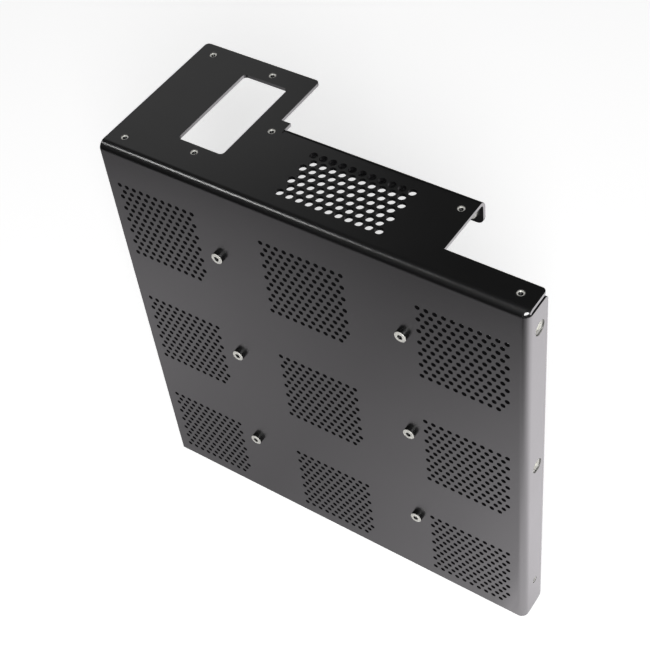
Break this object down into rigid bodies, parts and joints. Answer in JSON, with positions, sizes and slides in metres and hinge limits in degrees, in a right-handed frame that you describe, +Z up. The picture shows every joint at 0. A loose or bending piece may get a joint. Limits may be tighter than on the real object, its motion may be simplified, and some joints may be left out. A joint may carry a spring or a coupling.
{
  "type": "sheet metal chassis",
  "caption": "Square folded sheet metal chassis panel with perforated patches, a stepped top flange with window and vent, a side flange, and pressed-in nuts and standoffs.",
  "frame": {"origin": "outer bottom left corner of the panel", "axes": "+X to the right along the panel, +Y back from the panel's outer face, +Z up the panel"},
  "size_m": [0.2595, 0.101, 0.2685],
  "materials": {
    "black_coated_sheet": "fine satin black powder coat",
    "plated_steel": "bright zinc plate"
  },
  "bodies": {
    "root": {"chassis_sheet": "black_coated_sheet", "top_nut_1": "plated_steel", "top_nut_2": "plated_steel", "top_nut_3": "plated_steel", "top_nut_4": "plated_steel", "top_nut_5": "plated_steel", "top_nut_6": "plated_steel", "top_nut_7": "plated_steel", "tab_nut": "plated_steel", "side_nut_1_large": "plated_steel", "side_nut_2_large": "plated_steel", "side_nut_3_small": "plated_steel", "standoff_1": "plated_steel", "standoff_2": "plated_steel", "standoff_3": "plated_steel", "standoff_4": "plated_steel", "standoff_5": "plated_steel", "standoff_6": "plated_steel"}
  },
  "joints": []
}
